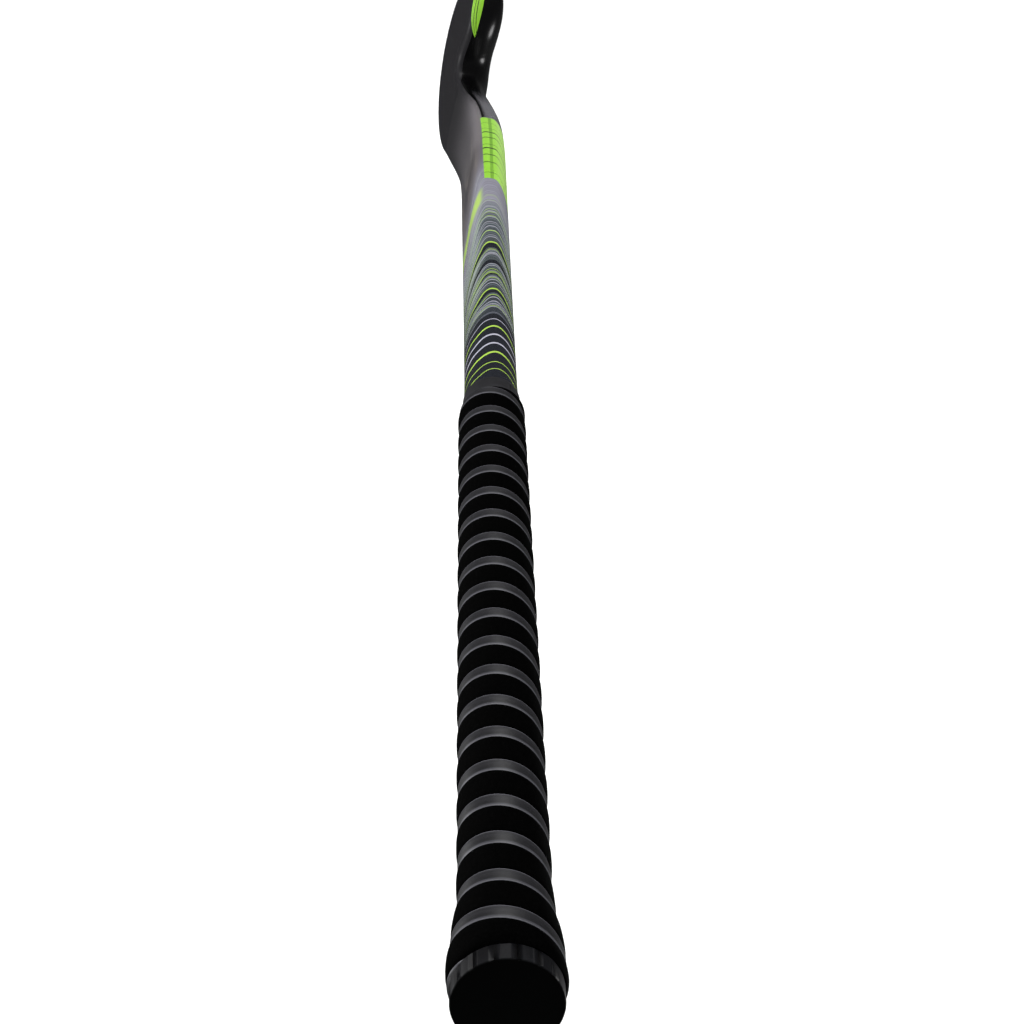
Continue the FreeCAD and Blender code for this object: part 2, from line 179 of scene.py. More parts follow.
class CapSizes(bpy.types.PropertyGroup):
    """Moulded end cap"""

    diameter: length("Diameter", "Outside of the ribbed rim", 0.0334)
    height: length("Height", "Height of the rim", 0.007)
    bevel: length("Bevel", "Edge of the end face", 0.0008)
    slot_depth: length("Slot depth", "How deep the slots are", 0.0010)
    recess_width: length("Recess", "Inside of the rim, which holds the tube's end", 0.0268)
    recess_floor: length("Recess floor", "End face to the bottom of the recess", 0.003)
    stem_width: length("Stem", "Diameter of the stem", 0.012)
    stem_length: length("Stem length", "Length of the stem", 0.024)
    lip: length("Lip", "Bevel of the slots' edges", 0.0004)
    slot_turn: angle("Slot turn", "Angle from the toe side to the first slot", 3.4)
    slots: IntProperty(name="Slots", description="Slots round the rim", default=16, min=3)
    panel_steps: IntProperty(name="Panel steps", description="Facets in each panel", default=4, min=1)


class PrintColours(bpy.types.PropertyGroup):
    """Colours of the printed laminate"""

    lime: colour("Lime", "Bright ink", "#8ac534")
    pale_lime: colour("Pale lime", "Bright ink, thinned", "#a8cc4c")
    lilac: colour("Lilac", "Light ink", "#878692")
    silver: colour("Silver", "Lightest ink", "#b0afbd")
    moss: colour("Moss", "Grey-green ground of the shaft", "#838e82")
    navy: colour("Navy", "Dark ground near the grip", "#1b1e26")
    # Painted light: the lit grey laid on the neck's playing side near the toe-side edge; it is not an ink.
    painted_glow_grey: colour("Warm grey", "Neck", "#6b676b")
    charcoal: colour("Charcoal", "Playing side of the head", "#1e1d21")
    # Black is the lacquer's own colour, and it is also used as painted shade in the crook.
    black: colour("Black", "Edge and back of the head", "#060607")


class StageSizes(bpy.types.PropertyGroup):
    """Floor, lights and camera"""

    floor_size: length("Floor", "Side of the floor", 8.0)
    side_view: angle("Camera round", "Angle round the shaft, from the toe side to the playing side", 14.727)
    tilt: angle("Camera tilt", "Angle between the view and the shaft", 27.478)
    roll: angle("Camera roll", "Turn of the frame", -2.476)
    distance: length("Distance", "Camera to the point that it looks at", 0.88421)
    target_drop: length("Target drop", "Butt face to the point that it looks at", 0.30269)
    target_shift: length("Target shift", "Sideways place of that point", 0.007244)
    lens: FloatProperty(
        name="Lens", description="Focal length on a 36 mm sensor", default=76.439, unit="CAMERA"
    )


# ---------------------------------------------------------------- shared by the pieces

def add_node(tree, kind, settings, inputs):
    """Adds a node, sets its settings, fills or links its inputs, and returns its outputs."""
    made = tree.nodes.new("ShaderNode" + kind)
    for name, value in settings.items():
        if name == "stops":
            spare = len(value) - len(made.color_ramp.elements)
            for _ in range(spare):
                made.color_ramp.elements.new(1.0)
            for stop, (place, shade) in zip(made.color_ramp.elements, value):
                stop.position = place
                stop.color = shade
        elif name == "blend":
            made.color_ramp.interpolation = value
        else:
            setattr(made, name, value)
    for name, value in inputs.items():
        if isinstance(value, bpy.types.NodeSocket):
            tree.links.new(value, made.inputs[name])
        else:
            made.inputs[name].default_value = value
    return made.outputs


def new_material(name):
    """An empty material, and the function that adds nodes to it."""
    material = bpy.data.materials.new(name)
    material.use_nodes = True
    material.node_tree.nodes.clear()
    return material, partial(add_node, material.node_tree)


def add_surface(make, shade, bump, finish):
    """Ends a material: a bump of a height, strength and depth, and a surface with its finish."""
    normal = make("Bump", {}, dict(zip(("Height", "Strength", "Distance"), bump)))["Normal"]
    surface = make("BsdfPrincipled", {}, {"Base Color": shade, "Normal": normal, **finish})
    make("OutputMaterial", {}, {"Surface": surface["BSDF"]})


def add_piece(name, bm, materials, slot, *nodes):
    """A finished piece that stands for CAD nodes and rides on the frame."""
    for edge in bm.edges:
        if edge.is_manifold and edge.calc_face_angle() > SHARP_ANGLE:
            edge.smooth = False
    mesh = bpy.data.meshes.new(name)
    bm.to_mesh(mesh)
    bm.free()
    mesh.shade_smooth()
    for material in materials:
        mesh.materials.append(material)
    piece = bpy.data.objects.new(name, mesh)
    bpy.context.scene.collection.objects.link(piece)
    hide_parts(*nodes)
    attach(piece, BODY)
    return piece


def ease(value, start, end):
    """0 before start, 1 after end and smooth between."""
    share = min(max((value - start) / (end - start), 0.0), 1.0)
    return share * share * (3.0 - 2.0 * share)


def between(low, high, share):
    """The value at a share of the way from low to high."""
    return low + (high - low) * share


def boundary(bm, near=None, reach=0.0):
    """Open edges of a mesh, all or only those near a height."""
    edges = [edge for edge in bm.edges if edge.is_boundary]
    if near is None:
        return edges
    return [edge for edge in edges if all(abs(vert.co.z - near) < reach for vert in edge.verts)]


# ---------------------------------------------------------------- the blank's outline

def hook_start(blank):
    """Path length at which the hook begins to turn."""
    return blank.stick_length - blank.hook_radius - blank.head_width / 2.0


def path_length(blank):
    """Path length from the butt to the toe's tip."""
    return hook_start(blank) + blank.hook_turn * blank.hook_radius + blank.toe_run


def centreline(blank, path):
    """Sideways place, run down the unbowed stick and heading at a path length."""
    radius = blank.hook_radius
    start = hook_start(blank)
    turn = min(max((path - start) / radius, 0.0), blank.hook_turn)
    past = max(path - start - blank.hook_turn * radius, 0.0)
    setback = blank.heel_setback * ease(path, start - blank.setback_run, start)
    sideways = radius * (1.0 - math.cos(turn)) + past * math.sin(turn) - setback
    run = min(path, start) + radius * math.sin(turn) + past * math.cos(turn)
    return sideways, run, turn


def bowed(blank, sideways, run, forward):
    """Point of the bowed stick for a point of the unbowed one."""
    start = blank.stick_length - blank.bow_top
    end = blank.stick_length - blank.bow_bottom
    radius = (end - start) / blank.bow_turn
    turn = min(max((run - start) / radius, 0.0), blank.bow_turn)
    past = max(run - end, 0.0)
    y = radius * (1.0 - math.cos(turn)) + past * math.sin(turn) + forward * math.cos(turn)
    down = min(run, start) + radius * math.sin(turn) + past * math.cos(turn)
    return Vector((sideways, y, forward * math.sin(turn) - down))


def section_size(blank, path):
    """Half width, depth to the playing side, depth to the back and squareness at a path length."""
    mid = blank.stick_length - blank.mid_height
    neck = blank.stick_length - blank.neck_height
    face_start = blank.stick_length - blank.bow_bottom
    bend = hook_start(blank)
    to_mid = ease(path, blank.grip_length, mid)
    to_neck = ease(path, mid, neck)
    to_head = ease(path, neck, bend + blank.hook_radius)
    to_toe = ease(path, bend + blank.hook_radius * 2.0, path_length(blank))
    width = between(blank.shaft_width, blank.mid_width, to_mid)
    width += (blank.neck_width - blank.mid_width) * to_neck
    width += (blank.head_width - blank.neck_width) * to_head
    width += (blank.toe_width - blank.head_width) * to_toe
    depth = between(blank.shaft_depth, blank.mid_depth, to_mid)
    depth += (blank.neck_depth - blank.mid_depth) * to_neck
    face = depth / 2.0 + CROWN * ease(path, face_start, face_start + CROWN_RUN)
    back = depth / 2.0 + (blank.head_depth - blank.neck_depth) * to_head - blank.toe_thinning * to_toe
    return width / 2.0, face, back, ease(path, blank.grip_length, neck)


def blank_ring(blank, path, ground):
    """Evenly spaced points round the blank from the heel side, each with its angle in turns."""
    half_width, face, back, square = section_size(blank, path)
    share = max((path - path_length(blank) + TOE_ROUNDING) / TOE_ROUNDING, 0.0)
    half_width *= math.sqrt(max(1.0 - share ** 2.2, TOE_TIP ** 2))
    thin = math.sqrt(max(1.0 - (0.85 * share) ** 3, TOE_TIP ** 2))
    face_power = 2.0 / between(SHAFT_SQUARENESS, FACE_SQUARENESS, square)
    back_power = 2.0 / between(SHAFT_SQUARENESS, BACK_SQUARENESS, square)
    flat = blank.neck_depth / 2.0 - blank.face_layer if ground else face

    def outline(turn):
        across = math.cos(FULL_TURN * turn)
        out = math.sin(FULL_TURN * turn)
        power, reach = (face_power, face) if out >= 0.0 else (back_power, back)
        inward = half_width * math.copysign(abs(across) ** power, across)
        return inward, min(reach * thin * math.copysign(abs(out) ** power, out), flat)

    fine = 360
    turns = [step / fine - 0.5 for step in range(fine + 1)]
    outlines = [outline(turn) for turn in turns]
    lengths = [0.0]
    for first, second in zip(outlines, outlines[1:]):
        lengths.append(lengths[-1] + math.dist(first, second))
    sideways, run, heading = centreline(blank, path)
    ring = []
    place = 0
    for step in range(blank.around + 1):
        target = lengths[-1] * step / blank.around
        while place < fine - 1 and lengths[place + 1] < target:
            place += 1
        share = (target - lengths[place]) / (lengths[place + 1] - lengths[place])
        turn = between(turns[place], turns[place + 1], min(share, 1.0))
        inward, forward = outline(turn)
        across = sideways + inward * math.cos(heading)
        ring.append((bowed(blank, across, run - inward * math.sin(heading), forward), turn))
    return ring


def ring_paths(blank):
    """Path lengths of the blank's rings and whether each is ground flat for the face layer."""
    face_start = blank.stick_length - blank.bow_bottom
    rounding = path_length(blank) - TOE_ROUNDING
    # Where each stretch ends and the largest gap between its rings.
    stretches = [
        (blank.grip_length, 0.1),
        (blank.stick_length - blank.bow_top, 0.008),
        (face_start, 0.003),
        (face_start + GROUND_STEP, 0.001),
        (rounding, 0.0018),
    ]
    paths = [blank.tube_end]
    for limit, gap in stretches:
        count = math.ceil((limit - paths[-1]) / gap)
        first = paths[-1]
        paths += [between(first, limit, (step + 1) / count) for step in range(count)]
    for step in range(TOE_RINGS):
        paths.append(rounding + TOE_ROUNDING * math.sin(math.pi / 2.0 * (step + 1) / TOE_RINGS))
    return [(path, path > face_start + GROUND_STEP / 2.0) for path in paths]


# ---------------------------------------------------------------- the blank

def wave_stops(inks):
    """Waves by the grip and dark ones above them: level in metres, ink and 1 where the wave is solid."""
    lime, silver, navy = inks.pale_lime, inks.silver, inks.navy
    return [
        (0.4000, navy, 1), (0.4180, lime, 1), (0.4194, navy, 1), (0.4268, lime, 1), (0.4281, navy, 1),
        (0.4365, lime, 1), (0.4379, navy, 1), (0.4455, silver, 1), (0.4470, navy, 1), (0.4555, silver, 1),
        (0.4571, navy, 1), (0.4655, lime, 1), (0.4670, navy, 1), (0.4745, silver, 1), (0.4757, navy, 1),
        (0.4820, navy, 0), (0.5060, navy, 1), (0.5105, lime, 1), (0.5118, navy, 0), (0.5290, navy, 1),
        (0.5310, navy, 0), (0.5450, navy, 1), (0.5500, navy, 0), (0.5660, navy, 1), (0.5725, lime, 1),
        (0.5737, navy, 0), (0.5880, lime, 1), (0.5890, navy, 0),
    ]


def panel_stops(inks):
    """The lime panel, crossed by thin dark contour lines at uneven places."""
    stops = [(0.6500, inks.lime, 0), (0.6635, inks.lime, 1)]
    lines = [
        (0.6722, 0.0006), (0.6790, 0.0005), (0.6878, 0.0012), (0.7003, 0.0006), (0.7105, 0.0016),
        (0.7168, 0.0005), (0.7287, 0.0010), (0.7382, 0.0018), (0.7466, 0.0005), (0.7590, 0.0008),
    ]
    for place, width in lines:
        stops += [(place, inks.navy, 1), (place + width, inks.lime, 1)]
    return stops + [(0.7730, inks.lime, 0)]


def ground_stops(inks):
    """Ground colours along the stick, by level in metres."""
    return [
        (0.400, inks.navy), (0.480, inks.navy), (0.492, linear("#59625f")), (0.520, linear("#6c766f")),
        (0.565, inks.moss), (0.610, linear("#8a9295")), (0.635, inks.lilac), (0.672, linear("#7f7e8a")),
        (0.702, linear("#625f65")), (0.740, linear("#403d41")), (0.795, linear("#29282c")),
        (0.860, inks.charcoal),
    ]


def line_stops(inks):
    """Inks of the fine lines, by chance."""
    return [
        (0.0, inks.navy), (0.34, linear("#4b5560")), (0.50, inks.silver), (0.66, inks.pale_lime),
        (0.78, inks.lilac), (0.88, inks.navy),
    ]


# Shares of the wedge's width at which its lime starts and stops.
WEDGE_CUTS = [0.0, 0.03, 0.24, 0.30, 0.50, 0.58, 0.76, 0.80, 0.98]


def printed_laminate(inks):
    """Carbon and glass laminate, printed and clear-lacquered: contour lines in bright inks under a smooth
    gloss on the shaft, running out to a dark dull grain on the head."""
    material, make = new_material("Laminate, printed and clear-lacquered")
    wrap = make("UVMap", {"uv_map": "wrap"}, {})
    place = make("SeparateXYZ", {}, {"Vector": wrap["UV"]})
    path = place["Y"]
    # Turns round the section from the toe-side edge, where the playing side is positive, and the same
    # without its sign and rounded at the edge.
    turn = make("Math", MINUS, {0: place["X"], 1: 0.5})["Value"]
    squared = make("Math", ADD_SCALED, {0: turn, 1: turn, 2: 0.0020})["Value"]
    rounded = make("Math", {"operation": "SQRT"}, {0: squared})["Value"]
    away = make("Math", MINUS, {0: rounded, 1: 0.0447})["Value"]

    # The lines bend like waves over the toe-side edge, shallow at the grip and deep at the neck, and
    # drift by a few millimetres. Level is the place along the stick at which a point's line meets that edge.
    slope = make("MapRange", SMOOTH, dict(zip(RANGE, (path, 0.43, 0.57, 0.065, 0.32))))["Result"]
    level = make("Math", ADD_SCALED, {0: away, 1: slope, 2: path})["Value"]
    spread = make("CombineXYZ", {}, {"X": away, "Y": path})["Vector"]
    for scale, reach in (((2.2, 22.0, 1.0), 0.012), ((9.0, 70.0, 1.0), 0.0026)):
        stretched = make("Mapping", {}, {"Vector": spread, "Scale": scale})["Vector"]
        drift = make("TexNoise", {}, {"Vector": stretched, "Scale": 1.0, "Detail": 1.0})["Fac"]
        drift = make("Math", MINUS, {0: drift, 1: 0.5})["Value"]
        level = make("Math", ADD_SCALED, {0: drift, 1: reach, 2: level})["Value"]
    panel_level = make("Math", ADD_SCALED, {0: away, 1: 0.22, 2: path})["Value"]

    # How far a point is from the middle of the broad streak.
    streak_line = make("Math", ADD_SCALED, {0: turn, 1: 0.2, 2: path})["Value"]
    streak_gap = make("Math", MINUS, {0: streak_line, 1: 0.648})["Value"]
    streak_gap = make("Math", SIZE_OF, {0: streak_gap})["Value"]

    # Brushed streaks along the neck, where the print runs out.
    brushed = make("CombineXYZ", {}, {"X": turn, "Y": path})["Vector"]
    brushed = make("Mapping", {}, {"Vector": brushed, "Scale": (55.0, 14.0, 1.0)})["Vector"]
    brushed = make("TexNoise", {}, {"Vector": brushed, "Scale": 1.0, "Detail": 4.0, "Roughness": 0.7})["Fac"]

    # Smooth steps: what each follows, where it starts and ends, and its value at each end.
    smooth = {
        "crowded": (away, 0.0, 0.10, 0.75, 0.0),
        "before_lilac": (level, 0.595, 0.640, 1.0, 0.0),
        # Painted light: the neck's playing side is lighter towards the toe-side edge.
        "painted_glow_by_edge": (turn, 0.03, 0.40, 0.92, 0.0),
        "from_print": (path, 0.690, 0.730),
        "to_hook": (path, 0.780, 0.857, 1.0, 0.0),
        "brushed": (brushed, 0.42, 0.68),
        "run_out": (level, 0.680, 0.715),
        "run_end": (level, 0.760, 0.830, 0.75, 0.0),
        "thinned": (level, 0.600, 0.645, 1.0, 0.28),
        "gone": (level, 0.665, 0.700, 1.0, 0.0),
        "faded": (away, 0.07, 0.22, 1.0, 0.60),
        "streak": (streak_gap, 0.005, 0.014, 0.75, 0.0),
        "on_face": (turn, 0.03, 0.08),
        # Painted light: the lime panel grows paler over the back.
        "painted_light_back": (turn, 0.02, -0.07, 0.0, 0.9),
        "panel_fade": (turn, -0.30, -0.19),
        # Painted shade: the black band over the edge widens in the crook.
        "black_edge_and_shade": (path, 0.815, 0.852, 0.034, 0.078),
        "narrowed": (path, 0.858, 0.885, 0.0, 0.042),
        # Painted grey highlight on the back before these, black after them.
        "deep": (path, 0.806, 0.852),
        "ridge": (turn, -0.002, 0.018),
        "dull": (level, 0.66, 0.80),
    }
    share = {name: make("MapRange", SMOOTH, dict(zip(RANGE, row)))["Result"] for name, row in smooth.items()}
    # Straight steps, in the same order.
    straight = {
        "along": (level, 0.40, 0.90),
        "lined": (level, 0.482, 0.486, 0.0, 0.95),
        "wave": (level, 0.40, 0.60),
        "panel": (panel_level, 0.65, 0.79),
        "panel_edge": (path, 0.66, 0.77, 0.028, 0.046),
        "below": (panel_level, 0.7730, 0.7745),
        "tip": (path, 0.9520, 0.9755),
    }
    for name, row in straight.items():
        share[name] = make("MapRange", {}, dict(zip(RANGE, row)))["Result"]

    ground = make("ValToRGB", {
        "stops": [((at - 0.40) / 0.50, ink) for at, ink in ground_stops(inks)],
    }, {"Fac": share["along"]})["Color"]

    # Fine lines, 1.25 mm apart, each with its own ink.
    count = make("Math", TIMES, {0: level, 1: 800.0})["Value"]
    number = make("Math", {"operation": "FLOOR"}, {0: count})["Value"]
    within = make("Math", {"operation": "FRACT"}, {0: count})["Value"]
    chance = make("TexWhiteNoise", {"noise_dimensions": "1D"}, {"W": number})["Value"]
    line_ink = make("ValToRGB", {"blend": "CONSTANT", "stops": line_stops(inks)}, {"Fac": chance})["Color"]
    thin = make("Math", BELOW, {0: within, 1: 0.42})["Value"]

    # Bright waves near the grip and dark ones between the fine lines.
    waves = make("ValToRGB", {
        "blend": "CONSTANT",
        "stops": [((at - 0.40) / 0.20, list(ink)[:3] + [solid]) for at, ink, solid in wave_stops(inks)],
    }, {"Fac": share["wave"]})
    near_grip = make("Math", BELOW, {0: level, 1: 0.482})["Value"]
    held = make("Math", HIGHER, {0: near_grip, 1: share["faded"]})["Value"]

    # The lime panel wraps from the toe-side edge over the back, where painted light makes it paler, and has a
    # darker green line along the edge.
    panel = make("ValToRGB", {
        "blend": "CONSTANT",
        "stops": [((at - 0.65) / 0.14, list(ink)[:3] + [solid]) for at, ink, solid in panel_stops(inks)],
    }, {"Fac": share["panel"]})
    on_back = make("Math", BELOW, {0: turn, 1: share["panel_edge"]})["Value"]
    # Painted light: a screen of pale grey-green makes the panel paler on the back.
    panel_ink = make("Mix", {"data_type": "RGBA", "blend_type": "SCREEN"}, {
        "Factor": share["painted_light_back"], "A": panel["Color"], "B": linear("#707a58"),
    })["Result"]
    # A darker green line along the toe-side edge.
    dark_edge_line = make("Math", SIZE_OF, {0: turn})["Value"]
    dark_edge_line = make("Math", BELOW, {0: dark_edge_line, 1: 0.0022})["Value"]
    dark_edge_line = make("Math", TIMES, {0: dark_edge_line, 1: 0.45})["Value"]
    panel_ink = make("Mix", COLOURS, {"Factor": dark_edge_line, "A": panel_ink, "B": linear("#2c5a12")})["Result"]

    # Black over the head's edge and back: black lacquer, with painted shade that widens it in the crook and a
    # painted grey highlight on the back where it begins.
    black_edge_and_shade = make("Math", MINUS, {0: share["black_edge_and_shade"], 1: share["narrowed"]})["Value"]
    edge_gap = make("Math", MINUS, {0: black_edge_and_shade, 1: turn})["Value"]
    beside = make("MapRange", {}, dict(zip(RANGE, (edge_gap, 0.0, 0.006))))["Result"]
    # Where the black with its painted shade and highlight lies; its gloss is the lacquer's.
    lacquered = make("Math", TIMES, {0: beside, 1: share["below"]})["Value"]
    deep = make("Math", HIGHER, {0: share["deep"], 1: share["ridge"]})["Value"]
    lacquer_shade_and_highlight = make("Mix", COLOURS, {"Factor": deep, "A": linear("#67666b"), "B": inks.black})["Result"]

    # A lime wedge at the toe, cut by hairlines.
    tip = make("Math", TIMES, {0: share["tip"], 1: share["tip"]})["Value"]
    reach = make("Math", TIMES, {0: tip, 1: 0.34})["Value"]
    fraction = make("Math", {"operation": "DIVIDE"}, {0: turn, 1: reach})["Value"]
    shown = [linear("#000000"), linear("#ffffff")]
    wedge = make("ValToRGB", {
        "blend": "CONSTANT", "stops": [(at, shown[place % 2]) for place, at in enumerate(WEDGE_CUTS)],
    }, {"Fac": fraction})["Color"]
    past_ridge = make("Math", {"operation": "GREATER_THAN"}, {0: turn, 1: 0.009})["Value"]

    # What is laid over the ground, in order: the shares that say where, and the ink.
    layers = [
        (("crowded", "before_lilac"), (), linear("#3b404a")),
        # Painted light: lighter grey on the neck's playing side, strongest by the toe-side edge.
        (("painted_glow_by_edge", "from_print", "to_hook"), (), inks.painted_glow_grey),
        (("brushed", "run_out", "run_end"), (), linear("#6a645f")),
        (("lined", "thinned", "gone", "faded"), (thin,), line_ink),
        ((), (waves["Alpha"], held), waves["Color"]),
        (("streak", "on_face"), (), inks.pale_lime),
        (("panel_fade",), (panel["Alpha"], on_back), panel_ink),
        # Black lacquer, with painted shade in the crook and a painted grey highlight on the back.
        ((), (lacquered,), lacquer_shade_and_highlight),
        ((), (wedge, past_ridge), inks.lime),
    ]
    shade = ground
    for names, masks, ink in layers:
        where, *others = [*masks, *(share[name] for name in names)]
        for other in others:
            where = make("Math", TIMES, {0: where, 1: other})["Value"]
        shade = make("Mix", COLOURS, {"Factor": where, "A": shade, "B": ink})["Result"]

    # Grit on the dark end, drawn 0.5 mm across: the real grit is finer and would not show.
    spot = make("TexCoord", {}, {})["Object"]
    grit = make("TexNoise", {}, {"Vector": spot, "Scale": 1900.0, "Detail": 3.0, "Roughness": 0.7})["Fac"]
    bare = make("Math", MINUS, {0: 1.0, 1: lacquered})["Value"]
    dull = make("Math", TIMES, {0: share["dull"], 1: bare})["Value"]
    roughness = make("MapRange", {}, {"Value": dull, "To Min": 0.26, "To Max": 0.62})["Result"]
    speck = make("MapRange", {}, dict(zip(RANGE, (grit, 0.35, 0.65, 0.78, 1.22))))["Result"]
    shade = make("Mix", {"data_type": "RGBA", "blend_type": "MULTIPLY"}, {
        "Factor": dull, "A": shade, "B": speck,
    })["Result"]
    height = make("Math", TIMES, {0: grit, 1: dull})["Value"]
    add_surface(make, shade, (height, 0.35, 0.0002), {
        "Roughness": roughness, "IOR": 1.5, "Specular IOR Level": 0.35,
        "Coat Weight": 0.10, "Coat Roughness": 0.15,
    })
    return material


class STICK_OT_blank(bpy.types.Operator):
    """Makes the printed laminate blank: shaft, neck and hook in one skin"""

    bl_idname = "stick.blank"
    bl_label = "Printed Blank"

    def execute(self, context):
        blank = context.scene.stick_blank
        rings = [(path, blank_ring(blank, path, ground)) for path, ground in ring_paths(blank)]
        bm = bmesh.new()
        wrap = bm.loops.layers.uv.new("wrap")
        bmesh.ops.create_grid(bm, x_segments=blank.around, y_segments=len(rings) - 1, size=0.5)
        spots = {}
        for vert in bm.verts:
            column = round((vert.co.x + 0.5) * blank.around)
            row = round((vert.co.y + 0.5) * (len(rings) - 1))
            path, ring = rings[row]
            vert.co, turn = ring[column]
            spots[vert] = (turn + 0.5, path)
        for face in bm.faces:
            for loop in face.loops:
                loop[wrap].uv = spots[loop.vert]
        bmesh.ops.remove_doubles(bm, verts=bm.verts, dist=0.000001)
        ends = bmesh.ops.holes_fill(bm, edges=boundary(bm), sides=0)["faces"]
        for face in ends:
            at_toe = face.calc_center_median().z < -blank.grip_length
            for loop in face.loops:
                loop[wrap].uv = (0.5, rings[-1][0] if at_toe else rings[0][0])
        bmesh.ops.recalc_face_normals(bm, faces=bm.faces)
        material = printed_laminate(context.scene.stick_inks)
        add_piece("printed_blank", bm, [material], "laminate", "outer_shell")
        return {"FINISHED"}


# ---------------------------------------------------------------- the wraps

# Offsets of one turn of the grip, in millimetres, by share of the pitch from its upper edge:
# a raised tape edge, the recessed band, and the cushion that overlaps the next turn.
TURN_PROFILE = [
    (0.0, -0.80), (0.02, -0.50), (0.05, -0.40), (0.10, -0.42), (0.22, -0.45), (0.30, -0.50), (0.335, -0.62),
    (0.36, -0.36), (0.42, -0.16), (0.50, -0.04), (0.62, 0.0), (0.76, -0.02), (0.88, -0.12), (0.95, -0.30),
    (0.98, -0.50), (1.0, -0.80),
]

# Share of the pitch that the recessed joint takes, and how far from its lower end the grip rounds over.
JOINT_SHARE = 0.347
END_FOLD = 0.0028
# How far past the lower end the flare starts to narrow, and past the flare's length it ends.
FLARE_EASE = (0.005, 0.012)


def oval_point(height, turn, sizes, relief):
    """Point of the grip's outside at a height and an angle in turns, with a relief outwards."""
    share = 1.0 - ease(-height, sizes.lower_end + FLARE_EASE[0], sizes.flare_length + FLARE_EASE[1])
    fold = min(max((sizes.lower_end + END_FOLD + height) / END_FOLD, 0.0), 1.0)
    relief -= END_FOLD * 0.5 * (1.0 - math.sqrt(1.0 - fold * fold))
    across = between(sizes.width, sizes.flare_width, share) / 2.0 + relief
    deep = between(sizes.depth, sizes.flare_width, share) / 2.0 + relief
    return Vector((across * math.cos(FULL_TURN * turn), deep * math.sin(FULL_TURN * turn), height))


def cushioned_tape():
    """Polyurethane foam tape, embossed: black, soft and very matte, its near-zero colour painted shade on the
    turns that face away from the light.
    """
    material, make = new_material("Polyurethane foam tape, embossed")
    spot = make("TexCoord", {}, {})["Object"]
    grain = make("TexNoise", {}, {"Vector": spot, "Scale": 900.0, "Detail": 3.0, "Roughness": 0.6})["Fac"]
    # Painted shade: near-zero black on the cushion turns that face away from the light.
    shade = make("ValToRGB", {
        "stops": [(0.3, linear("#010101")), (0.7, linear("#030303"))],
    }, {"Fac": grain})["Color"]
    add_surface(make, shade, (grain, 0.25, 0.0002), {"Roughness": 0.9, "IOR": 1.45, "Specular IOR Level": 0.02})
    return material


def painted_lit_joint_tape():
    """Polyurethane tape at the joint of two turns, thin and slick: its grey is painted light, a lit copy of the
    black tape, with drawn lines along the winding and painted highlights along its edges."""
    material, make = new_material("Polyurethane skin, stretched at the joint")
    wrap = make("UVMap", {"uv_map": "wrap"}, {})
    drawn = make("Mapping", {}, {"Vector": wrap["UV"], "Scale": (3.0, 55.0, 1.0)})["Vector"]
    lines = make("TexNoise", {}, {"Vector": drawn, "Scale": 1.0, "Detail": 3.0, "Roughness": 0.7})["Fac"]
    across = make("SeparateXYZ", {}, {"Vector": wrap["UV"]})["Y"]
    # Painted light: grey across the joint, with painted highlights at the tape's upper edge and along the
    # crest.
    band = make("ValToRGB", {
        "stops": [
            (0.0, linear("#060606")), (0.008, linear("#6c6c72")), (0.030, linear("#55555b")),
            (0.055, linear("#26262a")), (0.25, linear("#1b1b1e")), (0.275, linear("#34343a")),
            (0.325, linear("#55555b")), (0.345, linear("#101012")),
        ]
    }, {"Fac": across})["Color"]
    wear = make("MapRange", {}, dict(zip(RANGE, (lines, 0.3, 0.7, 0.5, 1.6))))
    shade = make("Mix", {"data_type": "RGBA", "blend_type": "MULTIPLY"}, {
        "Factor": 1.0, "A": band, "B": wear["Result"],
    })
    finish = {"Roughness": 0.42, "IOR": 1.5, "Specular IOR Level": 0.38}
    add_surface(make, shade["Result"], (lines, 0.4, 0.0002), finish)
    return material


